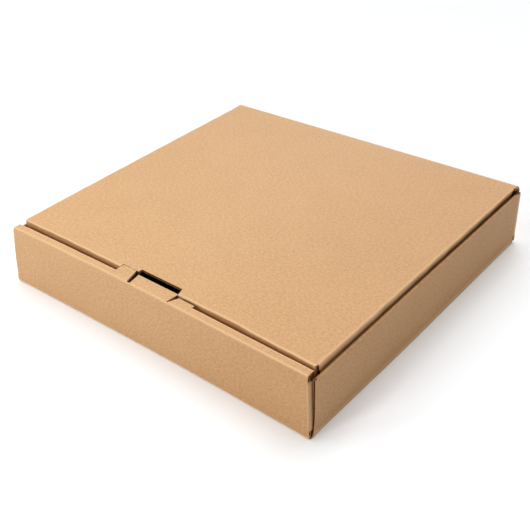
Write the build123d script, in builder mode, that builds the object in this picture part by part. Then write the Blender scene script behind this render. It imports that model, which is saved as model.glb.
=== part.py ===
from build123d import *
import os
from math import tan, cos, radians

# A closed pizza box folded from one sheet of micro-flute corrugated board.
# X to the right, Y to the back, Z up, millimetres. Origin: middle of the bottom, on the surface.

# ---- board -------------------------------------------------------------
board = 1.6            # thickness of the sheet
fold_out = 2.0         # outer radius of a right-angle fold
fold_in = 0.4          # inner radius of a right-angle fold
cut = 0.3              # width of a knife cut

# ---- tray --------------------------------------------------------------
depth = 250.0          # front face to back face
front_w = 252.4        # width of front wall, floor and back wall
ledge_z = 45.8         # top of the roll-over front wall
front_lean = 1.2       # top of the front wall leans back by this
ledge_back = 7.0       # front face at the floor to the back of the inner panel
side_h = 41.5          # height of the side walls
side_foot = 128.5      # outer face of a side wall at the floor
side_lean = 0.8        # top of a side wall stands out by this
side_front = 3.6       # front face to the raw front end of a side wall
side_rear = 2.5        # back face to the raw rear end of a side wall
flap_z0 = 5.6          # bottom of the corner flaps
flap_z1 = 40.8         # top of the corner flaps at the fold
flap_drop = 3.2        # behind the fold their upper edge is this much lower
flap_len = 50.0        # how far a corner flap reaches along the side wall
inner_foot = 2.0       # bottom edge of the inner front panel
inner_clear = 0.3      # inner front panel to each corner flap

# ---- lock tongue, cut out of ledge and inner panel ----------------------
tongue_x0, tongue_x1 = -28.0, 38.8
tongue_hinge = 3.2     # front face to where the cuts begin
window_extra = 0.9     # the cut lies this much further down the inner panel than the tongue is long
shoulder_l_back = 14.0 # left shoulder, front face to its back edge
tab_back = 12.6        # centre tab
shoulder_r_back = 9.6  # right shoulder

# ---- lid ---------------------------------------------------------------
lid_z = 46.0           # top face
lid_half = 124.2       # outer faces of the lid's side flaps
lid_front = 12.3       # front face of the tray to the lid's front fold
lid_flap_lean = 9.0    # the front flap tucks inward by this many degrees
lid_flap_z = 7.2       # bottom edge of the front flap
lid_flap_half = 123.6
side_flap_z = 12.0     # bottom edge of the side flaps
side_flap_y0, side_flap_y1 = -110.6, 118.5
side_flap_taper = 8.5
slot_back = 18.0       # front face of the tray to the back of the finger slot
slot_x0, slot_x1 = -13.0, 22.2
slot_depth = 16.0      # how far the finger slot runs down the front flap
notch_back = 14.6      # shallow notch for the left shoulder
relief_r = 1.3         # round relief cut at each front corner of the lid

yf = -depth / 2        # front face
yb = depth / 2         # back face
half = front_w / 2
pivot_y = yb - board / 2
pivot_z = lid_z - board / 2
wall_top = lid_z - board - 0.1


def front_face(z):
    return yf + front_lean * z / ledge_z


# ---- corner flaps: the front wall wraps round both front corners ----------
with BuildPart() as front_band:
    with BuildSketch(Plane.YZ):
        with BuildLine():
            Polyline(
                (front_face(flap_z0), flap_z0),
                (yf + flap_len, flap_z0),
                (yf + flap_len - 4, flap_z1 - flap_drop - 1.6),
                (yf + 7.0, flap_z1 - flap_drop),
                (yf + 3.3, flap_z1),
                (front_face(flap_z1), flap_z1),
                close=True,
            )
        make_face()
    extrude(amount=half, both=True)
    fillet(
        front_band.edges().filter_by(lambda e: abs(abs(e.center().X) - half) < 0.01
                                     and e.center().Y < yf + 3 and e.length > 30),
        fold_out,
    )
    with BuildSketch(Plane.YZ):
        with BuildLine():
            Polyline(
                (front_face(0) + board, 0),
                (yf + flap_len + 1, 0),
                (yf + flap_len + 1, lid_z),
                (front_face(lid_z) + board, lid_z),
                close=True,
            )
        make_face()
    extrude(amount=half - board, both=True, mode=Mode.SUBTRACT)

# ---- the back wall wraps round both rear corners -------------------------
with BuildPart() as rear_band:
    with BuildSketch(Plane.YZ):
        with BuildLine():
            Polyline(
                (yb, flap_z0),
                (yb - flap_len, flap_z0),
                (yb - flap_len + 4, flap_z1 - flap_drop - 1.6),
                (yb - 6.0, flap_z1 - flap_drop),
                (yb - 2.3, flap_z1),
                (yb, flap_z1),
                close=True,
            )
        make_face()
    extrude(amount=half, both=True)
    fillet(
        rear_band.edges().filter_by(lambda e: abs(abs(e.center().X) - half) < 0.01
                                    and e.center().Y > yb - 0.01 and e.length > 30),
        fold_out,
    )
    with BuildSketch(Plane.YZ):
        with Locations((yb - board - 30, lid_z / 2)):
            Rectangle(60, lid_z)
    extrude(amount=half - board, both=True, mode=Mode.SUBTRACT)

# ---- tray: one folded strip, two side walls, four corner flaps, tongue -----
with BuildPart() as base_tray:
    # back wall, floor, front wall, ledge and inner panel as one bent section
    with BuildSketch(Plane.YZ):
        with BuildLine():
            outside = FilletPolyline(
                (yb, wall_top),
                (yb, 0),
                (yf, 0),
                (front_face(ledge_z), ledge_z),
                (yf + ledge_back, ledge_z),
                (yf + ledge_back, inner_foot),
                radius=[fold_out, fold_out, fold_out, fold_out],
            )
            inside = FilletPolyline(
                (yf + ledge_back - board, inner_foot),
                (yf + ledge_back - board, ledge_z - board),
                (front_face(ledge_z - board) + board, ledge_z - board),
                (front_face(board) + board, board),
                (yb - board, board),
                (yb - board, wall_top),
                radius=[fold_in, fold_in, fold_in, fold_in],
            )
            Line(outside @ 1, inside @ 0)
            Line(inside @ 1, outside @ 0)
        make_face()
    extrude(amount=half, both=True)

    # the ends of front and back wall make room for the wrapped corners
    with BuildSketch(Plane.XY.offset(flap_z0)):
        with Locations((half, yf + 1.6), (-half, yf + 1.6), (half, yb - 0.9), (-half, yb - 0.9)):
            Rectangle(2 * fold_out, 5.2)
    extrude(amount=flap_z1 - flap_z0, mode=Mode.SUBTRACT)

    # the inner front panel stands between the corner flaps
    with BuildSketch(Plane.XY):
        with Locations((half, yf + ledge_back - 1.6), (-half, yf + ledge_back - 1.6)):
            Rectangle(2 * (board + inner_clear), 3.4)
    extrude(amount=flap_z1 + 0.3, mode=Mode.SUBTRACT)
    # the floor under that cut is whole again
    with BuildSketch(Plane.XY):
        with Locations((0, yf + ledge_back - 1.6)):
            Rectangle(front_w, 3.6)
    extrude(amount=board)

    add(front_band.part)
    add(rear_band.part)

    # side walls, hinged on the floor, with raw front and rear ends
    with BuildSketch(Plane.XZ.offset(-(yf + side_front))):
        with BuildLine():
            wall_out = FilletPolyline(
                (side_foot - 10, 0),
                (side_foot, 0),
                (side_foot + side_lean, side_h),
                radius=[fold_out],
            )
            wall_in = FilletPolyline(
                (side_foot + side_lean - board, side_h),
                (side_foot - board, board),
                (side_foot - 10, board),
                radius=[fold_in],
            )
            Line(wall_out @ 1, wall_in @ 0)
            Line(wall_in @ 1, wall_out @ 0)
        make_face()
        mirror(about=Plane.YZ)
    extrude(amount=-(depth - side_front - side_rear))

    # window left in the inner panel by the tongue: its outline, folded down
    for x0, x1, back in (
        (tongue_x0, -12.5, shoulder_l_back),
        (-12.5, 22.6, tab_back),
        (22.6, tongue_x1, shoulder_r_back),
    ):
        window_z = ledge_z - (back - ledge_back) - window_extra
        with BuildSketch(Plane.XY.offset(window_z)):
            with Locations(((x0 + x1) / 2, yf + ledge_back - 0.7)):
                Rectangle(x1 - x0, 4.4)
        extrude(amount=lid_z - window_z, mode=Mode.SUBTRACT)

    # tongue: left shoulder, centre tab and right shoulder stay level with the ledge
    with BuildSketch(Plane.XY.offset(ledge_z - board)):
        with BuildLine():
            Polyline(
                (tongue_x0 + cut, yf + 3.5), (-11.8, yf + 3.5),
                (-14.8, yf + shoulder_l_back), (tongue_x0 + cut + 0.5, yf + shoulder_l_back),
                (tongue_x0 + cut, yf + shoulder_l_back - 1.2), close=True,
            )
        make_face()
        with BuildLine():
            Polyline(
                (-9.9, yf + 3.5), (22.5, yf + 3.5),
                (22.0, yf + tab_back), (-10.6, yf + tab_back), close=True,
            )
        make_face()
        with BuildLine():
            Polyline(
                (22.9, yf + 3.5), (tongue_x1 - cut, yf + 3.5),
                (tongue_x1 - cut, yf + shoulder_r_back), (24.3, yf + shoulder_r_back), close=True,
            )
        make_face()
    extrude(amount=board)

    # the two wedge slits and the two cuts at the tongue's ends
    with BuildSketch(Plane.XY.offset(ledge_z - board - 0.5)):
        with BuildLine():
            Polyline(
                (-11.7, yf + tongue_hinge), (-9.9, yf + tongue_hinge),
                (-10.6, yf + 12.8), (-10.6, yf + 16), (-15.2, yf + 16), close=True,
            )
        make_face()
        with BuildLine():
            Polyline(
                (22.5, yf + tongue_hinge), (22.9, yf + tongue_hinge),
                (24.3, yf + 9.7), (26.0, yf + 13.6), (21.95, yf + 13.6), close=True,
            )
        make_face()
        with BuildLine():
            Polyline(
                (tongue_x0, yf + tongue_hinge), (tongue_x0 + cut, yf + tongue_hinge),
                (tongue_x0 + cut, yf + ledge_back), (tongue_x0, yf + ledge_back), close=True,
            )
        make_face()
        with BuildLine():
            Polyline(
                (tongue_x1 - cut, yf + tongue_hinge), (tongue_x1, yf + tongue_hinge),
                (tongue_x1, yf + ledge_back), (tongue_x1 - cut, yf + ledge_back), close=True,
            )
        make_face()
    extrude(amount=board + 1, mode=Mode.SUBTRACT)

base_tray.part.label = "base_tray"

# ---- side flap of the lid, right-hand one --------------------------------
with BuildPart() as side_flap:
    with BuildSketch(Plane.XZ.offset(-side_flap_y0)):
        with BuildLine():
            fold_o = FilletPolyline(
                (lid_half - 6, lid_z),
                (lid_half, lid_z),
                (lid_half, side_flap_z),
                radius=[fold_out],
            )
            fold_i = FilletPolyline(
                (lid_half - board, side_flap_z),
                (lid_half - board, lid_z - board),
                (lid_half - 6, lid_z - board),
                radius=[fold_in],
            )
            Line(fold_o @ 1, fold_i @ 0)
            Line(fold_i @ 1, fold_o @ 0)
        make_face()
    extrude(amount=-(side_flap_y1 - side_flap_y0))
    # tapered front and rear edges
    with BuildSketch(Plane.YZ.offset(lid_half - 8)):
        with BuildLine():
            Polyline(
                (side_flap_y0 - 1, lid_z - board - 1.5), (side_flap_y0, lid_z - board - 1.5),
                (side_flap_y0 + side_flap_taper, side_flap_z), (side_flap_y0 + side_flap_taper, side_flap_z - 1),
                (side_flap_y0 - 1, side_flap_z - 1), close=True,
            )
        make_face()
        with BuildLine():
            Polyline(
                (side_flap_y1 + 1, lid_z - board - 1.5), (side_flap_y1, lid_z - board - 1.5),
                (side_flap_y1 - side_flap_taper, side_flap_z), (side_flap_y1 - side_flap_taper, side_flap_z - 1),
                (side_flap_y1 + 1, side_flap_z - 1), close=True,
            )
        make_face()
    extrude(amount=10, mode=Mode.SUBTRACT)

# ---- lid: top, front flap and two side flaps ------------------------------
lean = tan(radians(lid_flap_lean))
skew = board / cos(radians(lid_flap_lean))
yl = yf + lid_front

with BuildPart() as lid:
    with BuildSketch(Plane.YZ):
        with BuildLine():
            top_line = FilletPolyline(
                (pivot_y, lid_z),
                (yl, lid_z),
                (yl + lean * (lid_z - lid_flap_z), lid_flap_z),
                radius=[fold_out],
            )
            under_line = FilletPolyline(
                (yl + lean * (lid_z - lid_flap_z) + skew, lid_flap_z),
                (yl + lean * board + skew, lid_z - board),
                (pivot_y, lid_z - board),
                radius=[fold_in],
            )
            Line(top_line @ 1, under_line @ 0)
            ThreePointArc(under_line @ 1, (yb, pivot_z), top_line @ 0)
        make_face()
    extrude(amount=lid_half, both=True)

    # the front flap is a little narrower than the lid
    with BuildSketch(Plane.XZ.offset(-(yl - 2))):
        with Locations((lid_half, (lid_z - fold_out) / 2), (-lid_half, (lid_z - fold_out) / 2)):
            Rectangle(2 * (lid_half - lid_flap_half), lid_z - fold_out)
    extrude(amount=-12, mode=Mode.SUBTRACT)

    # the plate's edges give way to the folded side flaps
    with BuildSketch(Plane.XY.offset(lid_z - board - 1)):
        with Locations((lid_half, (side_flap_y0 + side_flap_y1) / 2), (-lid_half, (side_flap_y0 + side_flap_y1) / 2)):
            Rectangle(8, side_flap_y1 - side_flap_y0)
    extrude(amount=board + 2, mode=Mode.SUBTRACT)
    add(side_flap.part)
    add(side_flap.part.mirror(Plane.YZ))

    # finger slot across the front fold, with a shallow notch beside it
    with BuildSketch(Plane.XY.offset(lid_z - slot_depth)):
        with BuildLine():
            Polyline(
                (slot_x0, yl - 2), (slot_x1, yl - 2), (slot_x1, yl + 0.3),
                (slot_x1 - 1.5, yf + slot_back), (slot_x0, yf + slot_back), close=True,
            )
        make_face()
    extrude(amount=slot_depth + 1, mode=Mode.SUBTRACT)
    with BuildSketch(Plane.XY.offset(lid_z - board - 0.4)):
        with BuildLine():
            Polyline(
                (tongue_x0 - 0.5, yl - 2), (slot_x0 + 0.5, yl - 2),
                (slot_x0 + 0.5, yf + notch_back), (tongue_x0 - 0.5, yf + notch_back), close=True,
            )
        make_face()
    extrude(amount=board + 1.4, mode=Mode.SUBTRACT)
    # the slot in the front flap reaches under the notch as well
    with BuildSketch(Plane.XY.offset(lid_z - slot_depth)):
        with BuildLine():
            Polyline(
                (tongue_x0 - 0.5, yl - 2), (slot_x0 + 0.5, yl - 2),
                (slot_x0 + 0.5, yf + slot_back), (tongue_x0 - 0.5, yf + slot_back), close=True,
            )
        make_face()
    extrude(amount=slot_depth - board, mode=Mode.SUBTRACT)

    # round relief at the two front corners
    with BuildSketch(Plane.XY.offset(lid_z - fold_out - 2)):
        with Locations((lid_half - 0.9, yl + 0.9), (-lid_half + 0.9, yl + 0.9)):
            Circle(relief_r)
    extrude(amount=fold_out + 3, mode=Mode.SUBTRACT)

lid.part.label = "lid"

os.makedirs("parts", exist_ok=True)
for piece in (base_tray, lid):
    b = piece.part.bounding_box()
    print(piece.part.label, "solids", len(piece.part.solids()), "volume", round(piece.part.volume, 1),
          "box", [round(v, 2) for v in (b.min.X, b.min.Y, b.min.Z, b.max.X, b.max.Y, b.max.Z)])
print("shared volume at rest", round((base_tray.part & lid.part).volume if (base_tray.part & lid.part) else 0.0, 4))
export_step(base_tray.part, "parts/base_tray.step")
export_step(lid.part, "parts/lid.step")
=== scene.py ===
import math
import bpy
import numpy as np
from mathutils import Matrix, Vector


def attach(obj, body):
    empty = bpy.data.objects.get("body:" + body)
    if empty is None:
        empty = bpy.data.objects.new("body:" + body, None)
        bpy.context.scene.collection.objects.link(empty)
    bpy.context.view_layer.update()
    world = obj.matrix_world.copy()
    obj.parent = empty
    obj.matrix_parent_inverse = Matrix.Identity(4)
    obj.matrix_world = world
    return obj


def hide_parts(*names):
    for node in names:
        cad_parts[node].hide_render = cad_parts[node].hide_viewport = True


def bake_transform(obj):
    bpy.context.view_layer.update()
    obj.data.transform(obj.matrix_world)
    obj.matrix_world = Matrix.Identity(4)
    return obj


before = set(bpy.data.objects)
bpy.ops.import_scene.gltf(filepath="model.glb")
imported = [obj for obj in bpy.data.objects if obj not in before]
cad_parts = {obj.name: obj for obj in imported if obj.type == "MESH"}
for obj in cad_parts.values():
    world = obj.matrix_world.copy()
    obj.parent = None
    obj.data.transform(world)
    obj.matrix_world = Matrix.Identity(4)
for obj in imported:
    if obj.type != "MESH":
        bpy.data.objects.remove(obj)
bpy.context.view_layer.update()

# ---------------------------------------------------------------------------
# The box is one sheet of board. It is drawn flat, as a blank with cut lines and
# fold lines, and every point of the blank is then folded to its place, so the
# folds, the raw edges and the flutes are where the real sheet has them.
# All lengths in this part are millimetres; meshes are written in metres.
# ---------------------------------------------------------------------------
MM = 0.001
T = 1.6                 # board thickness
LINER = 0.26            # paper on each side of the flutes
PITCH = 3.3             # flute to flute
DEEP = 2.4              # depth of the open flutes shown at an edge across them
SHALLOW = 0.22          # depth of an edge along the flutes

YF, YB = -125.0, 125.0
HALF = 126.2
LEDGE_Z = 45.8
LEAN = math.degrees(math.atan(1.2 / 45.8))
LID_Z = 46.0
SEAM_Z = 41.0           # tray sheet stops here on the back wall, the hinge strip begins
SEAM_Y = 119.0          # lid sheet begins here

rng = np.random.RandomState(54)


def smooth(t):
    t = np.clip(t, 0, 1)
    return t * t * (3 - 2 * t)


def bump1(x, c, w):
    """1 at c, 0 beyond w either side."""
    return np.clip(1 - ((x - c) / w) ** 2, 0, 1) ** 2


# smooth seeded noise made of a few sine waves -------------------------------
def wave_noise(seed, n=7, lo=0.02, hi=0.12):
    r = np.random.RandomState(seed)
    k = r.uniform(lo, hi, (n, 2)) * np.where(r.rand(n, 2) < 0.5, -1, 1)
    ph = r.uniform(0, 2 * math.pi, n)
    am = r.uniform(0.4, 1.0, n)
    am /= np.sqrt((am ** 2).sum() / 2)

    def f(u, v):
        u = np.asarray(u, float)
        v = np.asarray(v, float)
        return sum(a * np.sin(kx * u + ky * v + p) for (kx, ky), p, a in zip(k, ph, am)) / 1.6

    return f


# ---------------------------------------------------------------------------
# a folded path in the YZ plane: straight runs and bends, measured on the outer face
# ---------------------------------------------------------------------------
class Path:
    def __init__(self, start, heading, normal):
        self.segs = []
        self.p = np.array(start, float)
        self.h = np.array(heading, float)
        self.n = np.array(normal, float)
        self.s = 0.0
        self.marks = {}

    def line(self, length, name=None):
        self.segs.append(("line", self.s, length, self.p.copy(), self.h.copy(), self.n.copy(), 0.0))
        if name:
            self.marks[name] = (self.s, self.s + length)
        self.p = self.p + self.h * length
        self.s += length
        return self

    def bend(self, radius, degrees, name=None):
        phi = math.radians(degrees)
        self.segs.append(("arc", self.s, radius * phi, self.p.copy(), self.h.copy(), self.n.copy(), radius))
        if name:
            self.marks[name] = (self.s, self.s + radius * phi)
        c = self.p - radius * self.n
        n2 = math.cos(phi) * self.n + math.sin(phi) * self.h
        h2 = math.cos(phi) * self.h - math.sin(phi) * self.n
        self.p = c + radius * n2
        self.n, self.h = n2, h2
        self.s += radius * phi
        return self

    def to(self, axis, value, name=None):
        """straight run until the given coordinate (0 = y, 1 = z) is reached"""
        return self.line((value - self.p[axis]) / self.h[axis], name)

    def crush(self, s, d):
        for kind, s0, length, q, h, m, radius in self.segs:
            if kind == "arc":
                away = np.maximum(s0 - s, np.maximum(s - s0 - length, 0))
                d = crushed(d, away, radius, length / radius)
        return d

    def at(self, s, only=None):
        """position, outward normal and heading at path lengths s; only=k keeps segment k's own line for every s"""
        s = np.asarray(s, float)
        p = np.zeros(s.shape + (2,))
        n = np.zeros(s.shape + (2,))
        k = np.zeros(s.shape, int)
        if only is None:
            for i, seg in enumerate(self.segs):
                k[s >= seg[1] - 1e-9] = i
        else:
            k[:] = only
        for i, (kind, s0, length, q, h, m, radius) in enumerate(self.segs):
            on = k == i
            if not on.any():
                continue
            a = s[on] - s0
            if kind == "line":
                p[on] = q + a[:, None] * h
                n[on] = m
            else:
                c = q - radius * m
                t = a / radius
                nn = np.cos(t)[:, None] * m + np.sin(t)[:, None] * h
                p[on] = c + radius * nn
                n[on] = nn
        return p, n


def crushed(d, away, radius, phi):
    """board is crushed where it is creased: depth d is limited near a fold of small radius"""
    return np.minimum(d, radius - 0.07 + away / math.tan(phi / 2))


def cross(X, d, x0, radius, degrees):
    """across the sheet: straight to x0, then a bend toward the inside, then straight.
    Returns the distance along x and along the outward normal at depth d."""
    a = np.abs(X) - x0
    phi = math.radians(degrees)
    d = crushed(d, np.maximum(-a, np.maximum(a - radius * phi, 0)), radius, phi)
    t = np.clip(a / radius, 0, phi)
    run = np.clip(a - radius * phi, 0, None)
    cx = x0 + (radius - d) * np.sin(t) + run * math.cos(phi)
    cn = -radius + (radius - d) * np.cos(t) - run * math.sin(phi)
    flat = a <= 0
    return np.where(flat, np.abs(X), cx) * np.sign(X), np.where(flat, -d, cn)


# ---------------------------------------------------------------------------
# thick sheet from a grid of cells: outer face, inner face, and raw edges that
# are open between the liners where the flutes end
# ---------------------------------------------------------------------------
class Sheet:
    def __init__(self, name, xs, ss, solid, fold, flat_uv, raw_edge=None, deep=None):
        """xs across, ss along; solid(xm, sm) -> bool for a cell; fold(i, j, X, S, d) -> points (mm);
        i and j are the grid line numbers a point belongs to"""
        self.name = name
        self.xs, self.ss = np.array(xs, float), np.array(ss, float)
        self.fold, self.flat_uv = fold, flat_uv
        nx, ns = len(xs) - 1, len(ss) - 1
        xm = (self.xs[1:] + self.xs[:-1]) / 2
        sm = (self.ss[1:] + self.ss[:-1]) / 2
        self.mask = np.zeros((ns, nx), bool)
        for i in range(ns):
            self.mask[i] = [bool(solid(x, sm[i])) for x in xm]
        self.raw_edge = raw_edge or (lambda kind, x, s: True)
        self.deep = deep or (lambda x, s: DEEP)
        self.build()

    def build(self):
        m = self.mask
        ns, nx = m.shape
        pad = np.zeros((ns + 2, nx + 2), bool)
        pad[1:-1, 1:-1] = m
        verts, uvs, faces, fmat, fuv = [], [], [], [], []
        quads_out = []
        index = {}

        def vert(key, i, j, X, S, d):
            if key in index:
                return index[key]
            index[key] = len(verts)
            verts.append((i, j, X, S, d))
            return index[key]

        def corner(i, j, side):
            return vert((i, j, side), i, j, self.xs[j], self.ss[i], 0.0 if side == 0 else T)

        for i in range(ns):
            for j in range(nx):
                if not m[i, j]:
                    continue
                o = [corner(i, j, 0), corner(i, j + 1, 0), corner(i + 1, j + 1, 0), corner(i + 1, j, 0)]
                n = [corner(i, j, 1), corner(i + 1, j, 1), corner(i + 1, j + 1, 1), corner(i, j + 1, 1)]
                faces.append(o)
                fmat.append(0)
                faces.append(n)
                fmat.append(1)
        # boundary edges with the direction that leads into the sheet
        edges = []
        inward = {}
        for i in range(ns + 1):
            for j in range(nx):
                up, dn = pad[i, j + 1], pad[i + 1, j + 1]   # cells before and after line i
                if up != dn:
                    inn = 1 if dn else -1
                    edges.append(("s", (i, j), (i, j + 1), inn))
                    for key in ((i, j), (i, j + 1)):
                        inward.setdefault(key, [0, 0])[1] = inn
        for i in range(ns):
            for j in range(nx + 1):
                le, ri = pad[i + 1, j], pad[i + 1, j + 1]
                if le != ri:
                    inn = 1 if ri else -1
                    edges.append(("x", (i, j), (i + 1, j), inn))
                    for key in ((i, j), (i + 1, j)):
                        inward.setdefault(key, [0, 0])[0] = inn
        self.edges = edges

        def groove(key, level):
            i, j = key
            dx, dsn = inward[key]
            X = self.xs[j] + dx * SHALLOW
            S = self.ss[i] + dsn * self.deep(self.xs[j], self.ss[i])
            return vert((i, j, "g", level), i, j, X, S, LINER if level == 0 else T - LINER)

        def lip(key, level):
            i, j = key
            return vert((i, j, "l", level), i, j, self.xs[j], self.ss[i], LINER if level == 0 else T - LINER)

        for kind, a, b, inn in edges:
            # keep the winding outward: decided by the side the sheet lies on
            flip = (inn > 0) if kind == "s" else (inn < 0)
            rings = [
                (corner(*a, 0), corner(*b, 0)),
                (lip(a, 0), lip(b, 0)),
                (groove(a, 0), groove(b, 0)),
                (groove(a, 1), groove(b, 1)),
                (lip(a, 1), lip(b, 1)),
                (corner(*a, 1), corner(*b, 1)),
            ]
            for k, ((p, q), (r, s)) in enumerate(zip(rings, rings[1:])):
                quad = [q, p, r, s] if not flip else [p, q, s, r]
                faces.append(quad)
                # lips, and every ring of an edge along the flutes, take the cut-edge material; the other groove walls
                # take the flute material, whose dark brown is partly painted shade inside the open flutes
                fmat.append(2 if k in (0, 4) or kind == "x" else 3)
        I = np.array([v[0] for v in verts])
        J = np.array([v[1] for v in verts])
        X = np.array([v[2] for v in verts])
        S = np.array([v[3] for v in verts])
        D = np.array([v[4] for v in verts])
        self.P = self.fold(I, J, X, S, D)
        self.UV = np.stack(self.flat_uv(X, S), 1)
        self.faces, self.fmat = faces, fmat

    def ribbons(self):
        """the wave of paper seen at each edge that cuts across the flutes"""
        V, F, UV = [], [], []
        pad = np.zeros((self.mask.shape[0] + 2, self.mask.shape[1] + 2), bool)
        pad[1:-1, 1:-1] = self.mask
        runs = {}
        for kind, a, b, inn in self.edges:
            if kind == "s" and self.raw_edge("s", (self.xs[a[1]] + self.xs[b[1]]) / 2, self.ss[a[0]]):
                runs.setdefault((a[0], inn), []).append((a[1], b[1]))
        amp = (T - 2 * LINER) / 2 - 0.09
        for (i, inn), segs in sorted(runs.items()):
            segs.sort()
            chains = []
            for s in segs:
                if chains and chains[-1][1] == s[0]:
                    chains[-1][1] = s[1]
                else:
                    chains.append([s[0], s[1]])
            for j0, j1 in chains:
                x0, x1 = self.xs[j0] + 0.15, self.xs[j1] - 0.15
                if x1 - x0 < 1.0:
                    continue
                n = max(4, int((x1 - x0) / (PITCH / 8)))
                X = np.linspace(x0, x1, n + 1)
                mid = T / 2 + amp * np.sin(2 * math.pi * X / PITCH)
                base = len(V)
                rows = []
                for ds in (0.07, DEEP - 0.1):
                    for dd in (-0.07, 0.07):
                        S = np.full_like(X, self.ss[i] + inn * ds)
                        jj = np.clip(np.searchsorted(self.xs, X, side="right") - 1, j0, j1 - 1)
                        P = self.fold(np.full(len(X), i), jj, X, S, mid + dd)
                        rows.append(P)
                        UV.extend(zip(*self.flat_uv(X, S)))
                        V.extend(P)
                m = n + 1
                a0, a1, b0, b1 = (base + k * m for k in range(4))
                for k in range(n):
                    quads = [
                        (a0 + k, b0 + k, b0 + k + 1, a0 + k + 1),
                        (a1 + k, a1 + k + 1, b1 + k + 1, b1 + k),
                        (a0 + k, a0 + k + 1, a1 + k + 1, a1 + k),
                        (b0 + k, b1 + k, b1 + k + 1, b0 + k + 1),
                    ]
                    F.extend(q if inn > 0 else q[::-1] for q in quads)
                for k, w in ((0, 1), (n, -1)):
                    q = (a0 + k, a1 + k, b1 + k, b0 + k)
                    F.append(q if w * inn > 0 else q[::-1])
        return V, F, UV


def make_object(name, sheets, mats, extra=True):
    V, F, M, UV = [], [], [], []
    for sh in sheets:
        base = len(V)
        V.extend(sh.P)
        UV.extend(sh.UV)
        F.extend([[base + k for k in f] for f in sh.faces])
        M.extend(sh.fmat)
        if extra:
            base = len(V)
            v, f, uv = sh.ribbons()
            V.extend(v)
            UV.extend(uv)
            F.extend([[base + k for k in q] for q in f])
            # the ribbons take the flute material, dark brown partly as painted shade inside the flutes
            M.extend([3] * len(f))
    V = np.array(V, float) * MM
    UV = np.array(UV, float) * MM
    me = bpy.data.meshes.new(name)
    me.from_pydata([tuple(v) for v in V], [], F)
    layer = me.uv_layers.new(name="board")
    loops = np.zeros(len(me.loops), int)
    me.loops.foreach_get("vertex_index", loops)
    layer.data.foreach_set("uv", UV[loops].astype(np.float32).ravel())
    for m in mats:
        me.materials.append(m)
    me.polygons.foreach_set("material_index", np.array(M, np.int32))
    me.validate()
    ob = bpy.data.objects.new(name, me)
    bpy.context.scene.collection.objects.link(ob)
    # smooth shading on the two faces, sharp at the raw edges
    me.polygons.foreach_set("use_smooth", np.ones(len(me.polygons), bool))
    import bmesh
    bm = bmesh.new()
    bm.from_mesh(me)
    bmesh.ops.recalc_face_normals(bm, faces=bm.faces[:])
    for e in bm.edges:
        ms = {f.material_index for f in e.link_faces}
        e.smooth = not (len(ms) > 1 or (len(e.link_faces) == 2 and e.calc_face_angle(0.0) > math.radians(40)))
    bm.to_mesh(me)
    bm.free()
    me.update()
    return ob


def lines(*spans):
    """grid lines: (start, end, step) spans and single values, sorted and merged"""
    out = []
    for s in spans:
        if isinstance(s, tuple):
            n = max(1, int(math.ceil((s[1] - s[0]) / s[2] - 1e-6)))
            out.extend(np.linspace(s[0], s[1], n + 1))
        else:
            out.append(s)
    out = sorted(out)
    keep = [out[0]]
    for v in out[1:]:
        if v - keep[-1] > 0.05:
            keep.append(v)
    return np.array(keep)


# ---------------------------------------------------------------------------
# materials
# ---------------------------------------------------------------------------
def srgb(r, g, b):
    f = lambda c: c / 12.92 if c <= 0.04045 else ((c + 0.055) / 1.055) ** 2.4
    return (f(r / 255), f(g / 255), f(b / 255), 1.0)


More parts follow.
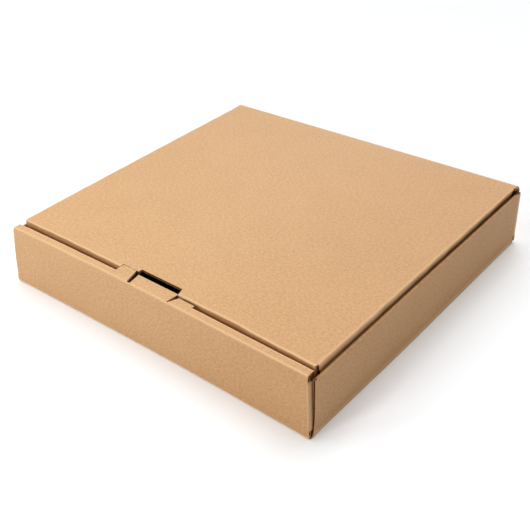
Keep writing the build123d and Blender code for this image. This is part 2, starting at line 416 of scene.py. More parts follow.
def kraft(name, base, dark, light, inside=False, edge=False):
    m = bpy.data.materials.new(name)
    m.use_nodes = True
    nt = m.node_tree
    nd, ln = nt.nodes, nt.links
    nd.clear()
    out = nd.new("ShaderNodeOutputMaterial")
    bsdf = nd.new("ShaderNodeBsdfPrincipled")
    bsdf.inputs["Roughness"].default_value = 0.78
    bsdf.inputs["Specular IOR Level"].default_value = 0.5
    ln.new(bsdf.outputs[0], out.inputs[0])
    uv = nd.new("ShaderNodeUVMap")
    uv.uv_map = "board"

    def mapping(sx, sy, rot=0.0):
        n = nd.new("ShaderNodeMapping")
        n.inputs["Scale"].default_value = (sx, sy, 1)
        n.inputs["Rotation"].default_value = (0, 0, rot)
        ln.new(uv.outputs[0], n.inputs[0])
        return n.outputs[0]

    def noise(vec, scale, detail=3.0, rough=0.55, dist=0.0):
        n = nd.new("ShaderNodeTexNoise")
        n.inputs["Scale"].default_value = scale
        n.inputs["Detail"].default_value = detail
        n.inputs["Roughness"].default_value = rough
        n.inputs["Distortion"].default_value = dist
        ln.new(vec, n.inputs["Vector"])
        return n.outputs["Fac"]

    def ramp(fac, stops):
        n = nd.new("ShaderNodeValToRGB")
        e = n.color_ramp.elements
        while len(e) < len(stops):
            e.new(0.5)
        for el, (p, c) in zip(e, stops):
            el.position = p
            el.color = c if len(c) == 4 else (c[0], c[0], c[0], 1)
        ln.new(fac, n.inputs[0])
        return n.outputs[0]

    def mix(a, b, fac, mode="MIX"):
        n = nd.new("ShaderNodeMix")
        n.data_type = "RGBA"
        n.blend_type = mode
        n.clamp_result = True
        if isinstance(fac, float):
            n.inputs[0].default_value = fac
        else:
            ln.new(fac, n.inputs[0])
        for sock, v in ((n.inputs[6], a), (n.inputs[7], b)):
            if isinstance(v, tuple):
                sock.default_value = v
            else:
                ln.new(v, sock)
        return n.outputs[2]

    # cloudy colour of unbleached paper, tens of millimetres across
    cloud = ramp(noise(mapping(1, 1), 34.0, 6.0, 0.68), [(0.25, (0.25,)), (0.75, (1.0,))])
    # formation: blotches of one to three millimetres
    blot = ramp(noise(mapping(1, 1.35), 520.0, 3.0, 0.66), [(0.36, (0.0,)), (0.64, (1.0,))])
    # fibres: long thin streaks in two slightly different directions
    fib1 = ramp(noise(mapping(1900, 420, 0.16), 1.0, 2.0, 0.6, 0.35), [(0.40, (0.0,)), (0.72, (1.0,))])
    fib2 = ramp(noise(mapping(430, 1700, -0.22), 1.0, 2.0, 0.6, 0.35), [(0.44, (0.0,)), (0.74, (1.0,))])
    # dark specks
    speck = nd.new("ShaderNodeTexVoronoi")
    speck.feature = "F1"
    speck.inputs["Scale"].default_value = 260.0
    speck.inputs["Randomness"].default_value = 1.0
    ln.new(mapping(1, 0.8, 0.4), speck.inputs["Vector"])
    spot = ramp(speck.outputs["Distance"], [(0.05, (1.0,)), (0.12, (0.0,))])
    keep = ramp(noise(mapping(1, 1), 150.0, 1.0), [(0.56, (0.0,)), (0.62, (1.0,))])
    spk = nd.new("ShaderNodeMath")
    spk.operation = "MULTIPLY"
    ln.new(spot, spk.inputs[0])
    ln.new(keep, spk.inputs[1])

    c = mix(dark, base, cloud)
    bl = nd.new("ShaderNodeMath")
    bl.operation = "MULTIPLY"
    bl.inputs[1].default_value = 0.88
    ln.new(blot, bl.inputs[0])
    c = mix(c, light, bl.outputs[0])
    # painted shade: the sheet is drawn darker and browner toward its right side, where less light falls on the box
    sep = nd.new("ShaderNodeSeparateXYZ")
    ln.new(uv.outputs[0], sep.inputs[0])
    painted_right_shade = nd.new("ShaderNodeMapRange")
    painted_right_shade.interpolation_type = "SMOOTHSTEP"
    painted_right_shade.inputs["From Min"].default_value = -0.03
    painted_right_shade.inputs["From Max"].default_value = 0.125
    ln.new(sep.outputs[0], painted_right_shade.inputs[0])
    c = mix(c, (0.93, 0.87, 0.80, 1), painted_right_shade.outputs[0], "MULTIPLY")
    f1 = nd.new("ShaderNodeMath")
    f1.operation = "MULTIPLY"
    f1.inputs[1].default_value = 0.34
    ln.new(fib1, f1.inputs[0])
    c = mix(c, dark, f1.outputs[0])
    f2 = nd.new("ShaderNodeMath")
    f2.operation = "MULTIPLY"
    f2.inputs[1].default_value = 0.36
    ln.new(fib2, f2.inputs[0])
    c = mix(c, light, f2.outputs[0])
    s2 = nd.new("ShaderNodeMath")
    s2.operation = "MULTIPLY"
    s2.inputs[1].default_value = 0.55
    ln.new(spk.outputs[0], s2.inputs[0])
    c = mix(c, (dark[0] * 0.45, dark[1] * 0.42, dark[2] * 0.40, 1), s2.outputs[0])
    # paper stretched over a fold is a little paler, and the fold crest also gets a painted highlight
    fold = nd.new("ShaderNodeAttribute")
    fold.attribute_name = "fold"
    fold_pale_highlight = nd.new("ShaderNodeMath")
    fold_pale_highlight.operation = "MULTIPLY"
    fold_pale_highlight.inputs[1].default_value = 0.80
    ln.new(fold.outputs["Fac"], fold_pale_highlight.inputs[0])
    c = mix(c, (min(1, light[0] * 1.12), min(1, light[1] * 1.15), min(1, light[2] * 1.2), 1), fold_pale_highlight.outputs[0])
    ln.new(c, bsdf.inputs["Base Color"])

    # surface: fibres, formation, and the flutes just showing through the liner
    sep = nd.new("ShaderNodeSeparateXYZ")
    ln.new(uv.outputs[0], sep.inputs[0])
    ph = nd.new("ShaderNodeMath")
    ph.operation = "MULTIPLY"
    ph.inputs[1].default_value = 2 * math.pi / (PITCH * MM)
    ln.new(sep.outputs[0], ph.inputs[0])
    sn = nd.new("ShaderNodeMath")
    sn.operation = "SINE"
    ln.new(ph.outputs[0], sn.inputs[0])
    vary = noise(mapping(1, 1), 60.0, 2.0)
    am = nd.new("ShaderNodeMath")
    am.operation = "MULTIPLY"
    ln.new(sn.outputs[0], am.inputs[0])
    ln.new(vary, am.inputs[1])

    def bump(height, dist, strength, prev=None):
        n = nd.new("ShaderNodeBump")
        n.inputs["Distance"].default_value = dist
        n.inputs["Strength"].default_value = strength
        ln.new(height, n.inputs["Height"])
        if prev is not None:
            ln.new(prev, n.inputs["Normal"])
        return n.outputs[0]

    b = bump(am.outputs[0], 0.00006, 0.40)
    b = bump(noise(mapping(1, 1.3), 420.0, 3.0, 0.6), 0.00009, 0.28, b)
    b = bump(fib1, 0.00005, 0.35, b)
    b = bump(fib2, 0.00005, 0.35, b)
    ln.new(b, bsdf.inputs["Normal"])
    rg = nd.new("ShaderNodeMapRange")
    rg.inputs["To Min"].default_value = 0.56
    rg.inputs["To Max"].default_value = 0.74
    ln.new(blot, rg.inputs["Value"])
    ln.new(rg.outputs[0], bsdf.inputs["Roughness"])
    return m


OUT = kraft("kraft_outer", srgb(198, 152, 102), srgb(180, 133, 84), srgb(216, 174, 126))
# inner liner: drawn a shade darker than the outer liner as painted shade for the gaps and the inside of the box
INN = kraft("kraft_inner_painted_shade", srgb(174, 132, 88), srgb(159, 117, 75), srgb(189, 148, 104))
RAW = kraft("kraft_cut_edge", srgb(189, 142, 89), srgb(159, 113, 66), srgb(204, 161, 108))
# flute paper: its own brown, drawn darker as painted shade inside the open flutes and the cut ends
WAVE = kraft("kraft_flutes_painted_shade", srgb(122, 78, 43), srgb(88, 55, 30), srgb(148, 100, 58))
MATS = [OUT, INN, RAW, WAVE]

# ---------------------------------------------------------------------------
# tray
# ---------------------------------------------------------------------------
R = 1.7                                 # folds round the floor
RC = 0.55                               # folds of the corner flaps
RL = 0.8                                # the two folds of the ledge
tray = Path((YB, SEAM_Z), (0, -1), (1, 0))
tray.to(1, R, "back")
tray.bend(R, 90, "fold_rear")
tray.line(YB - YF - 2 * R, "floor")
tray.bend(R, 90 + LEAN, "fold_front")
front_rise = LEDGE_Z - RL
tray.line((front_rise - tray.p[1]) / tray.h[1], "front")
tray.bend(RL, 90 - LEAN, "fold_top")
ledge_to = YF + 7.0 - RL
tray.line(ledge_to - tray.p[0], "ledge")
tray.bend(RL, 90, "fold_in")
tray.line(tray.p[1] - 2.0, "inner")
tm = tray.marks
ledge_k = [i for i, s in enumerate(tray.segs) if abs(s[1] - tm["ledge"][0]) < 1e-9][0]


def s_of_z_front(z):
    a, b = tm["front"]
    p, n = tray.at(np.array([a, b]))
    return a + (b - a) * (z - p[0, 1]) / (p[1, 1] - p[0, 1])


def s_of_z_back(z):
    return tm["back"][0] + (SEAM_Z - z)


def s_of_y_ledge(y):
    return tm["ledge"][0] + (y - tray.at(np.array([tm["ledge"][0]]))[0][0, 0])


def s_of_y_floor(y):
    return tm["floor"][0] + (YB - R - y)


S_HINGE = s_of_y_ledge(YF + 1.65)        # where the tongue's cuts begin
TONGUE = (-28.0, 37.9)
CUT = 0.14
B1, TAB, B2 = (s_of_y_ledge(YF + v) for v in (13.5, 11.2, 8.7))
flap_b = (s_of_z_back(40.8), s_of_z_back(5.6))     # rear corner flap rows
flap_f = (s_of_z_front(5.6), s_of_z_front(40.8))   # front corner flap rows
side_s = (s_of_y_floor(121.7), s_of_y_floor(-121.4))

SIDE_R, SIDE_DEG = 0.7, 87.8
SIDE_X0 = 127.7 - SIDE_R
side_arc = SIDE_R * math.radians(SIDE_DEG)
side_end = SIDE_X0 + side_arc + (41.5 - SIDE_R * (1 - math.cos(math.radians(SIDE_DEG)))) / math.sin(math.radians(SIDE_DEG))
FLAP_X0 = HALF - RC
flap_end = FLAP_X0 + RC * math.pi / 2 + 48.0
INNER_HALF = 124.3

half_lines = lines((0, 123.6, 4.2), 123.4, (124.2, 125.0, 0.36), (FLAP_X0, FLAP_X0 + RC * math.pi / 2, 0.28), (SIDE_X0, SIDE_X0 + SIDE_R * 1.532, 0.3), HALF, INNER_HALF, 129.0,
                   (129.2, side_end, 3.6), side_end, (side_end + 1.0, flap_end, 3.5), flap_end)
tongue_lines = [TONGUE[0], TONGUE[0] + CUT, -24.5, -21.0, -17.0, -12.9, -10.4, 21.3, 22.0, 26.5, 30.0, 34.0,
                TONGUE[1] - CUT, TONGUE[1], -34.0, 43.0] + list(np.linspace(-9.8, 20.7, 52))
keep_half = [v for v in half_lines if v > 44]
xs_tray = np.array(sorted(set([-v for v in keep_half]) | set(keep_half) | set(tongue_lines) | {-39.0}))

ss_tray = lines(
    (0, tm["back"][1], 3.5), s_of_z_back(41.1 - 0.1), flap_b[0], flap_b[0] - 0.3 if flap_b[0] > 0.4 else 0.0,
    flap_b[1], flap_b[1] + 0.3,
    tm["fold_rear"][0] - 0.5, (tm["fold_rear"][0], tm["fold_rear"][1], 0.3), tm["fold_rear"][1] + 0.5,
    side_s[0], side_s[1], (side_s[0], side_s[1], 4.2),
    tm["fold_front"][0] - 0.5, (tm["fold_front"][0], tm["fold_front"][1], 0.3), tm["fold_front"][1] + 0.5,
    flap_f[0], flap_f[0] - 0.3, flap_f[1], flap_f[1] + 0.3, (flap_f[0], flap_f[1], 2.6),
    tm["fold_top"][0] - 1.6, tm["fold_top"][0] - 0.6, (tm["fold_top"][0], tm["fold_top"][1], 0.26), tm["fold_top"][1] + 0.6,
    S_HINGE, tm["ledge"][1], tm["ledge"][1] - 0.6,
    (tm["fold_in"][0], tm["fold_in"][1], 0.3), tm["fold_in"][1] + 0.6,
    B2 - 1.6, B2, B2 + 0.25, TAB, TAB + 0.25, B1, B1 + 0.25, B1 + 1.6, (B1 + 3, tm["inner"][1], 3.4),
)


def between(v, span, eps=0.02):
    return span[0] - eps < v < span[1] + eps


def tray_solid(x, s):
    ax = abs(x)
    if ax > HALF:
        if between(s, flap_b) or between(s, flap_f):
            return ax < flap_end
        if between(s, side_s):
            return ax < side_end
        return False
    # knife cuts above and below the wrapped corners
    if ax > FLAP_X0:
        for a, b in ((flap_b[0] - 0.3, flap_b[0]), (flap_b[1], flap_b[1] + 0.3),
                     (flap_f[0] - 0.3, flap_f[0]), (flap_f[1], flap_f[1] + 0.3)):
            if a < s < b:
                return False
    if ax > SIDE_X0:
        for a, b in ((side_s[0] - 0.3, side_s[0]), (side_s[1], side_s[1] + 0.3)):
            if a < s < b:
                return False
    # ends of the inner panel stand between the corner flaps
    if s > tm["fold_in"][1] and ax > INNER_HALF:
        return False
    # the tongue and its cuts
    if S_HINGE < s and TONGUE[0] < x < TONGUE[1]:
        if x < TONGUE[0] + CUT:
            return s > B1 + 0.25
        if x > TONGUE[1] - CUT:
            return s > B2 + 0.25
        if x < -12.9:
            return not (B1 < s < B1 + 0.25)
        if x < -10.4:
            return s > B1 + 0.25
        if x < 21.3:
            return not (TAB < s < TAB + 0.25)
        if x < 22.0:
            return s > TAB + 0.25
        return not (B2 < s < B2 + 0.25)
    return True


front_noise = wave_noise(11, 6, 0.015, 0.06)
side_noise = wave_noise(12, 6, 0.012, 0.05)
fold_noise = wave_noise(13, 9, 0.12, 0.7)


def tray_fold(I, J, X, S, D):
    X, S, D = (np.asarray(v, float).copy() for v in (X, S, D))
    xl = xs_tray[np.clip(J, 0, len(xs_tray) - 1)]
    sl = ss_tray[np.clip(I, 0, len(ss_tray) - 1)]
    # the slits widen toward the back
    back = np.clip((S - S_HINGE) / (B1 - S_HINGE), 0, 1.1)
    on = (sl >= S_HINGE - 1e-6) & (sl <= B1 + 1e-6)
    w1 = np.interp(X, [-21.0, -12.9, -10.4, -4.0], [0, -3.3, -2.0, 0])
    back2 = np.clip((S - S_HINGE) / (B2 - S_HINGE), 0, 1.6)
    w2 = np.interp(X, [15.0, 21.3, 22.0, 30.0], [0, 0.7, 3.2, 0])
    tongue_pt = (xl >= TONGUE[0] + CUT - 1e-6) & (xl <= TONGUE[1] - CUT + 1e-6) & on
    X = X + np.where(tongue_pt & (sl <= B1 + 1e-6), w1 * back, 0)
    X = X + np.where(tongue_pt & (sl <= TAB + 1e-6), w2 * np.minimum(back2, 1.0), 0)
    # tapered ends of the corner flaps
    for (a, b), sgn in ((flap_b, -1), (flap_f, 1)):
        r = (sl >= a - 1e-6) & (sl <= b + 1e-6) & (np.abs(X) > 129)
        up = (S - a) / (b - a) if sgn > 0 else 1 - (S - a) / (b - a)
        rows = (sl >= a - 1e-6) & (sl <= b + 1e-6)
        drop = 3.2 * smooth((np.abs(X) - 126.8) / 5.0) + 1.6 * np.clip((np.abs(X) - 131) / 44, 0, 1)
        S = np.where(rows, S - sgn * drop * np.clip(up, 0, 1), S)
        X = np.where(r, np.sign(X) * (np.abs(X) - 4.0 * np.clip(up, 0, 1) * (np.abs(X) - 129) / (flap_end - 129)), X)
    # which line a point of the tongue follows
    jb = (xl >= TONGUE[0] + CUT - 1e-6) & (xl <= TONGUE[1] - CUT + 1e-6)
    last = np.where(xl < -11.0, B1, np.where(xl < 21.65, TAB, B2))
    flat = jb & (sl >= S_HINGE - 1e-6) & (sl <= last + 1e-6)
    P, N = tray.at(S)
    D = np.where(flat, D, tray.crush(S, D))
    Pf, Nf = tray.at(S, only=ledge_k)
    P = np.where(flat[:, None], Pf, P)
    N = np.where(flat[:, None], Nf, N)
    in_flap = ((sl >= flap_b[0] - 1e-6) & (sl <= flap_b[1] + 1e-6)) | ((sl >= flap_f[0] - 1e-6) & (sl <= flap_f[1] + 1e-6))
    in_side = (sl >= side_s[0] - 1e-6) & (sl <= side_s[1] + 1e-6)
    cx, cn = X.copy(), -D
    fx, fn = cross(X, D, FLAP_X0, RC, 90)
    gx, gn = cross(X, D, SIDE_X0, SIDE_R, SIDE_DEG)
    cx = np.where(in_flap, fx, np.where(in_side, gx, cx))
    cn = np.where(in_flap, fn, np.where(in_side, gn, cn))
    out = np.stack([cx, P[:, 0] + N[:, 0] * cn, P[:, 1] + N[:, 1] * cn], 1)

    # ---- what makes it a real folded sheet: bows and small waves ----
    x, y, z = out.T
    flat_x = np.abs(X) < 127
    high = np.clip(z / LEDGE_Z, 0, 1)
    bow = (1.45 + 0.1 * high) * np.clip(1 - (x / 126.2) ** 2, 0, 1) + 0.14 * front_noise(x, z * 2) * np.clip(1 - (x / 126.2) ** 4, 0, 1)
    bow = np.clip(bow, 0, 1.9)
    near = np.where(z > 6, 1.0, smooth((-98 - y) / 16))
    y = y + np.where(flat_x & (y < -98), bow * near, 0)
    # the ledge is a little askew
    y = y + np.where((y < -105) & (z > 20) & flat_x, np.clip(0.10 - 0.0075 * x, -0.7, 0.9) * (z - 20) / 26, 0)
    # the front wall is cut wider at its foot than at its top
    wide = np.where(x < 0, np.interp(high, [0, 0.15, 0.37, 0.68, 0.90, 0.97, 1.0], [2.5, 2.0, 1.3, 0.0, -1.2, -2.2, -2.9]), 1.2 - 1.1 * high)
    on_front = (sl > tm["floor"][1]) & (np.abs(X) > 90)
    inner = smooth((np.abs(X) - 127.5) / 14)
    x = x + np.where(on_front, np.sign(x) * smooth((np.abs(X) - 90) / 36) * (wide * (1 - inner) + inner * np.where(x < 0, 0.1, 0.75)), 0)
    # the back wall is a little wider than the front wall
    on_back = (sl < tm["floor"][0]) & (np.abs(X) > 90)
    x = x + np.where(on_back, np.sign(x) * smooth((np.abs(X) - 90) / 36) * (3.0 * (1 - inner) + 0.75 * inner) * smooth(z / 1.6), 0)
    # ledge and its fold: a slight sag between the ends
    dz = -0.15 * np.exp(-((x - 80) / 40.0) ** 2) - 0.10 * (0.5 + 0.5 * fold_noise(x * 0.4, 0 * x))
    z = z + np.where((z > 40) & (y < -110), dz * smooth((z - 40) / 5), 0)
    # perforated crease in front of the centre tab
    per = ((X > -9.9) & (X < 21.0)) * (0.5 + 0.5 * np.sin(2 * math.pi * (X + 9) / 4.2)) ** 3
    crease = np.exp(-((sl - (tm["fold_top"][0] + tm["fold_top"][1]) / 2 + 0.2) / 0.8) ** 2)
    z = z - 0.50 * per * crease
    y = y + 0.10 * per * crease
    # side walls: hardly any lean at the back, a little more at the front, free edge not quite straight
    side = (np.abs(X) > 126.4) & in_side & ~in_flap
    up = np.clip(z / 41.5, 0, 1)
    back = np.clip((y + 121) / 243, 0, 1)
    foot = 127.9 + 1.37 * smooth(back * 2.2)
    top = 129.2 + 0.0 * back - 0.25 * np.sin(math.pi * back) + 0.12 * side_noise(y, 0 * y + np.sign(x) * 50)
    want = top - (top - foot) * np.exp(-z / 11.0)
    want = want - np.where(x < 0, 2.2 * smooth((z - 20) / 21) * smooth((-50 - y) / 71), 0)
    have = 127.7 + z * math.tan(math.radians(90 - SIDE_DEG))
    x = np.where(side, x + np.sign(x) * (want - have) * smooth((np.abs(X) - 110) / 16), x)
    floor_edge = in_side & (np.abs(X) <= 126.4) & (np.abs(X) > 100)
    x = np.where(floor_edge, x + np.sign(x) * (foot - 127.7) * smooth((np.abs(X) - 100) / 26), x)
    x = np.clip(x, -129.27, 129.27)
    # the foot of each side wall reaches forward almost to the front fold
    toe = side & (sl > side_s[1] - 0.05)
    y = np.where(toe, y - 1.9 * np.exp(-z / 3.0), y)
    y = np.clip(y, -124.94, 124.99)
    out = np.stack([x, y, z], 1)
    return out



def tray_deep(x, s):
    # the cuts beside the tongue start close to a fold
    return 0.12 if abs(s - S_HINGE) < 0.01 else DEEP


tray_sheet_data = Sheet("tray_sheet", xs_tray, ss_tray, tray_solid, tray_fold, lambda X, S: (X, S),
                        raw_edge=lambda kind, x, s: abs(s - S_HINGE) > 0.01, deep=tray_deep)

# ---------------------------------------------------------------------------
# lid
# ---------------------------------------------------------------------------
RLID = 0.85
LF_DEG = 94.5
SF_DEG = 90.5
lidp = Path((SEAM_Y, LID_Z), (-1, 0), (0, 1))
lidp.to(0, -112.4 + RLID, "top")
lidp.bend(RLID, LF_DEG, "fold_front")
lidp.line((lidp.p[1] - 7.2) / -lidp.h[1], "flap")
lm = lidp.marks
LID_HALF = 124.2
LFLAP_HALF = 123.0
SX0 = LID_HALF - RLID
side_flap_end = SX0 + RLID * math.pi / 2 + (LID_Z - RLID - 12.0)


def sl_y(y):
    return SEAM_Y - y


SF = (sl_y(118.4), sl_y(-110.3))
SLOT_X = (-14.2, 22.2)
SLOT_BACK = sl_y(YF + 18.5)
NOTCH_X0 = -28.3
NOTCH_BACK = sl_y(YF + 15.6)
SLOT_END = lm["fold_front"][1] + 12.6

lid_half_lines = [v for v in lines((0, 121.8, 4.2), 118.6, LFLAP_HALF, (SX0, SX0 + RLID * math.pi / 2, 0.26), LID_HALF,
                                   (125.8, side_flap_end, 3.4), side_flap_end) if v > 44]
xs_lid = np.array(sorted(set([-v for v in lid_half_lines]) | set(lid_half_lines)
                         | {-39.0, -34.0, NOTCH_X0, -21.0, SLOT_X[0], SLOT_X[0] + 1.2, -6.5, -1.0, 4.5, 10.0, 16.0,
                            SLOT_X[1], 27.0, 32.0, 38.0, 42.0}))
ss_lid = lines(
    (0, SF[1], 4.2), SF[0], SF[1], SF[0] + 0.3, SF[1] + 0.15,
    SLOT_BACK, SLOT_BACK + 1.2, NOTCH_BACK,
    (lm["fold_front"][0], lm["fold_front"][1], 0.3), lm["fold_front"][0] - 0.7, lm["fold_front"][1] + 0.7,
    SLOT_END, (lm["flap"][0], lm["flap"][1], 3.2),
)


def lid_solid(x, s):
    ax = abs(x)
    if ax > LID_HALF:
        return between(s, SF) and ax < side_flap_end
    if s > lm["fold_front"][0] and ax > LFLAP_HALF:
        return False
    if s > SF[1] and ax > SX0:
        # relief at the corner, between the front flap and the side flap
        return s > lm["fold_front"][0] + 1.0 and ax < LFLAP_HALF
    if SX0 < ax and SF[0] - 0.3 < s < SF[0]:
        return False
    if SLOT_X[0] < x < SLOT_X[1] and SLOT_BACK < s < SLOT_END:
        return False
    if NOTCH_X0 < x < SLOT_X[0] and NOTCH_BACK < s < SLOT_END:
        return False
    return True


lid_noise = wave_noise(21, 7, 0.008, 0.035)
lid_fold_noise = wave_noise(22, 8, 0.05, 0.4)


def lid_fold(I, J, X, S, D):
    X, S, D = (np.asarray(v, float).copy() for v in (X, S, D))
    xl = xs_lid[np.clip(J, 0, len(xs_lid) - 1)]
    sl = ss_lid[np.clip(I, 0, len(ss_lid) - 1)]
    # right side of the slot slants inward toward the back
    on = (sl >= SLOT_BACK - 1e-6) & (sl <= lm["fold_front"][0] + 1e-6)
    w = np.interp(X, [16.0, 22.2, 27.0], [0, -1.5, 0])
    fade = np.clip((lm["fold_front"][0] - S) / (lm["fold_front"][0] - SLOT_BACK), 0, 1)
    before = np.clip((S - (SLOT_BACK - 4.2)) / 4.2, 0, 1)
    X = X + w * np.where(sl <= lm["fold_front"][0] + 1e-6, np.where(S < SLOT_BACK, before, fade), 0)
    # tapered ends of the side flaps
    on = (sl >= SF[0] - 1e-6) & (sl <= SF[1] + 1e-6) & (np.abs(xl) > 125.4)
    deep = np.clip((np.abs(X) - 126) / (side_flap_end - 126), 0, 1)
    mid = (SF[0] + SF[1]) / 2
    S2 = np.where(on, mid + (S - mid) * (1 - 8.5 / ((SF[1] - SF[0]) / 2) * deep), S)
    D = lidp.crush(S2, D)
    P, N = lidp.at(S2)
    cx, cn = X.copy(), -D
    side = (sl >= SF[0] - 1e-6) & (sl <= SF[1] + 1e-6)
    fx, fn = cross(X, D, SX0, RLID, SF_DEG)
    cx = np.where(side, fx, cx)
    cn = np.where(side, fn, cn)
    out = np.stack([cx, P[:, 0] + N[:, 0] * cn, P[:, 1] + N[:, 1] * cn], 1)
    x, y, z = out.T
    # the top sinks very slightly between its folds
    inside = smooth((124 - np.abs(x)) / 40) * smooth((y + 112) / 40) * smooth((119 - y) / 30)
    top = np.clip((z - 38) / 6, 0, 1)
    z = z - (0.35 * inside + 0.12 * (0.5 + 0.5 * lid_noise(x, y)) * smooth((119 - y) / 20)) * top
    # front edge gives a little where the hand pushes it
    edge = smooth((-95 - y) / 17) * top
    y = y + edge * (0.25 + 0.25 * lid_fold_noise(x, 0 * x)) * smooth((124 - np.abs(x)) / 12) * (1 - bump1(x, 0, 52.0) ** 0.5 * 0.9)
    x = x - np.sign(x) * smooth((np.abs(x) - 110) / 14) * (0.12 + 0.12 * lid_fold_noise(0 * y + 40, y)) * smooth((119 - y) / 10)
    # a little wider at the top than between the corner flaps, and not quite square to the tray
    grow = smooth((np.abs(x) - 80) / 42)
    rear = np.clip((y + 112) / 231, 0, 1)
    more = np.where(x < 0, rear ** 0.6 * 1.2, rear * 1.5) * np.exp(-np.clip(LID_Z - z, 0, None) / 3.0)
    x = x + np.sign(x) * grow * (0.95 + more - np.where(x < 0, 0.4 * np.clip((10 - y) / 130, 0, 1), 0.0))
    y = y + (-0.0125 * x - 0.35) * np.clip((119 - y) / 231, 0, 1)
    # the two front corners stand a little forward, the right one also outward
    ends = smooth((np.abs(x) - 55) / 62) * smooth((-60 - y) / 50)
    y = y - ends * np.where(x < 0, 1.0, 1.9)
    x = x + np.where(x < 0, -0.5, 1.15 * (1 - rear) ** 0.7) * grow
    z = np.minimum(z, LID_Z)
    return np.stack([x, y, z], 1)


hinge_len = (LID_Z - 2.0 - SEAM_Z) + 2.0 * math.pi / 2 + (YB - 2.0 - SEAM_Y)
lid_sheet_data = Sheet("lid_sheet", xs_lid, ss_lid, lid_solid, lid_fold, lambda X, S: (X, -S - hinge_len))

# ---------------------------------------------------------------------------
# the lid's rear fold: the strip of board that bends when the real lid opens; here it is drawn closed and is not
# attached to the lid
# ---------------------------------------------------------------------------
hinge = Path((YB, SEAM_Z), (0, 1), (1, 0))
RH = 2.0
hinge.to(1, LID_Z - RH, "wall")
hinge.bend(RH, 90, "fold")
hinge.to(0, SEAM_Y, "plate")
hm = hinge.marks
xs_hinge = np.array(sorted(set(v for v in xs_lid if abs(v) <= LID_HALF) | {LID_HALF, -LID_HALF}))
ss_hinge = lines((0, hm["wall"][1], 1.0), (hm["fold"][0], hm["fold"][1], 0.26), (hm["plate"][0], hm["plate"][1], 1.0))


def hinge_fold(I, J, X, S, D):
    X, S, D = (np.asarray(v, float).copy() for v in (X, S, D))
    P, N = hinge.at(S)
    z = P[:, 1] - N[:, 1] * D
    low = smooth((LID_Z - z) / 3.0)
    X = X + np.sign(X) * smooth((np.abs(X) - 80) / 42) * (np.where(X < 0, 2.15, 2.45) + low * np.where(X < 0, 1.2, 1.1))
    return np.stack([X, P[:, 0] - N[:, 0] * D, z], 1)


hinge_data = Sheet("hinge", xs_hinge, ss_hinge, lambda x, s: True, hinge_fold,
                   lambda X, S: (X, -S), raw_edge=lambda kind, x, s: False)


def fold_weight(ob, spans, use_v):
    """marks the outer face near the folds, where the liner is stretched and where the painted highlight on the fold
    crest goes
    """
    me = ob.data
    at = me.attributes.new("fold", "FLOAT", "POINT")
    at.data.foreach_set("value", np.clip(use_v, 0, 1).astype(np.float32))


def vertex_sv(sh, extra_n):
    S = sh.UV[:, 1]
    return S


def tray_fold_weight(sh, n):
    X, S = sh.UV[:, 0], sh.UV[:, 1]
    w = np.zeros(len(S))
    tongue = (X > TONGUE[0]) & (X < TONGUE[1])
    for k in ("fold_rear", "fold_front", "fold_top", "fold_in"):
        a, b = tm[k]
        if k != "fold_in":
            w = np.maximum(w, bump1(S, (a + b) / 2, (b - a) / 2 + 0.8))
        else:
            w = np.maximum(w, np.where(tongue, 0, bump1(S, (a + b) / 2, (b - a) / 2 + 0.8)))
    a = np.abs(X)
    w = np.maximum(w, bump1(a, FLAP_X0 + 1.6, 2.6) * ((S < flap_b[1]) | ((S > flap_f[0]) & (S < flap_f[1]))))
    w = np.maximum(w, bump1(a, SIDE_X0 + 1.6, 2.6) * ((S > side_s[0]) & (S < side_s[1])))
    return np.concatenate([w, np.zeros(n - len(w))])


def lid_fold_weight(sh, n):
    X, S = sh.UV[:, 0], -sh.UV[:, 1] - hinge_len
    a, b = lm["fold_front"]
    w = bump1(S, (a + b) / 2 - 0.4, (b - a) / 2 + 0.8)
    w = np.maximum(w, bump1(np.abs(X), SX0 + 1.2, 2.4) * ((S > SF[0]) & (S < SF[1])))
    return np.concatenate([w, np.zeros(n - len(w))])


tray_sheet = make_object("tray_sheet", [tray_sheet_data], MATS)
fold_weight(tray_sheet, None, tray_fold_weight(tray_sheet_data, len(tray_sheet.data.vertices)))
lid_sheet = make_object("lid_sheet", [lid_sheet_data], MATS)
fold_weight(lid_sheet, None, lid_fold_weight(lid_sheet_data, len(lid_sheet.data.vertices)))
hinge_fold_ob = make_object("lid_rear_fold", [hinge_data], MATS)
hv = -hinge_data.UV[:, 1]
hw = bump1(hv, (hm["fold"][0] + hm["fold"][1]) / 2, 2.4)
fold_weight(hinge_fold_ob, None, np.concatenate([hw, np.zeros(len(hinge_fold_ob.data.vertices) - len(hw))]))

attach(tray_sheet, "tray")
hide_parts("base_tray")
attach(lid_sheet, "lid")
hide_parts("lid")
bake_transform(hinge_fold_ob)

# ---------------------------------------------------------------------------
# floor, light, camera
# ---------------------------------------------------------------------------
def plain(name, col, rough):
    m = bpy.data.materials.new(name)
    m.use_nodes = True
    b = m.node_tree.nodes["Principled BSDF"]
    b.inputs["Base Color"].default_value = col
    b.inputs["Roughness"].default_value = rough
    b.inputs["Specular IOR Level"].default_value = 0.1
    b.inputs["Emission Color"].default_value = (0.97, 0.985, 1.0, 1)
    b.inputs["Emission Strength"].default_value = 0.10
    return m


bpy.ops.mesh.primitive_plane_add(size=12.0, location=(0, 0, 0))
floor = bpy.context.object
floor.name = "floor"
floor.data.materials.append(plain("floor_white", (0.878, 0.887, 0.897, 1), 0.95))

world = bpy.data.worlds.new("studio")
bpy.context.scene.world = world
world.use_nodes = True
world.node_tree.nodes["Background"].inputs[0].default_value = (1.0, 1.0, 1.0, 1)
world.node_tree.nodes["Background"].inputs[1].default_value = 0.004


def area(name, loc, target, size, power, col=(1, 1, 1)):
    d = bpy.data.lights.new(name, "AREA")
    d.shape = "RECTANGLE"
    d.size, d.size_y = size
    d.energy = power
    d.color = col
    o = bpy.data.objects.new(name, d)
    bpy.context.scene.collection.objects.link(o)
    o.location = loc
    o.rotation_euler = (Vector(target) - Vector(loc)).to_track_quat("-Z", "Y").to_euler()
    return o


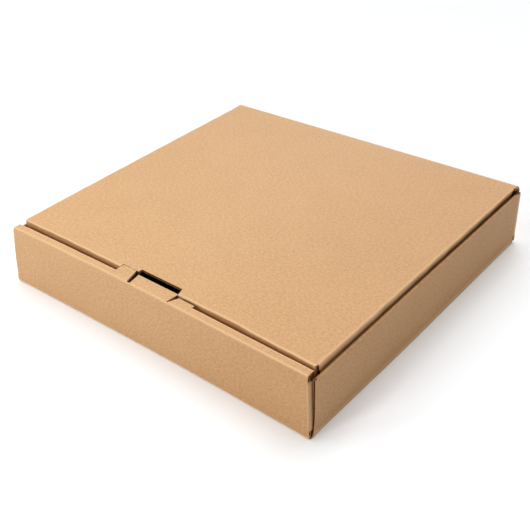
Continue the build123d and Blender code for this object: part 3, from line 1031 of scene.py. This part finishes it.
def sun(name, toward, strength, spread, col=(1, 1, 1)):
    d = bpy.data.lights.new(name, "SUN")
    d.energy = strength
    d.color = col
    d.angle = math.radians(spread)
    o = bpy.data.objects.new(name, d)
    bpy.context.scene.collection.objects.link(o)
    o.rotation_euler = Vector(toward).to_track_quat("Z", "Y").to_euler()
    return o


# soft boxes above and behind the box, and a lower one in front that reaches under the lid's edge
sun("top", (0.0, 0.208, 0.978), 1.80, 50, (0.99, 1.0, 1.01))
sun("back", (-0.310, 0.852, 0.423), 1.30, 50, (0.99, 1.0, 1.01))
sun("back_left", (-0.557, 0.321, 0.766), 0.52, 50, (0.99, 1.0, 1.01))
sun("right", (0.85, -0.15, 0.50), 0.22, 50, (1.0, 0.94, 0.86))
area("front", (-0.15, -1.0, 0.58), (0, 0, 0), (0.22, 0.22), 3.2, (1.0, 0.985, 0.965))
area("front_left", (-0.80, -1.10, 0.62), (0, 0, 0), (0.30, 0.30), 3.8, (1.0, 0.99, 0.98))
area("left_high", (-0.42, -0.36, 0.62), (0, 0, 0), (0.30, 0.30), 1.25, (0.99, 1.0, 1.01))

f, az, el, roll, dist = 852.70, 42.168, 32.682, -3.412, 597.06
target = Vector((-12.19, -22.97, 22.0)) * MM
a, e, r = (math.radians(v) for v in (az, el, roll))
backv = Vector((math.sin(a) * math.cos(e), -math.cos(a) * math.cos(e), math.sin(e)))
fwd = -backv
right = fwd.cross(Vector((0, 0, 1))).normalized()
up = right.cross(fwd)
Rv = right * math.cos(r) + up * math.sin(r)
Uv = -right * math.sin(r) + up * math.cos(r)
cam_data = bpy.data.cameras.new("camera")
cam = bpy.data.objects.new("camera", cam_data)
bpy.context.scene.collection.objects.link(cam)
cam_data.sensor_width = 36.0
cam_data.lens = f / 530 * 36.0
cam_data.shift_x = 0.06
cam_data.shift_y = -0.04
cam_data.clip_start, cam_data.clip_end = 0.01, 50
rot = Matrix((Rv, Uv, backv)).transposed().to_4x4()
cam.matrix_world = Matrix.Translation(target + backv * (dist * MM)) @ rot
bpy.context.scene.camera = cam
bpy.context.scene.view_settings.view_transform = "Standard"

bpy.context.view_layer.update()
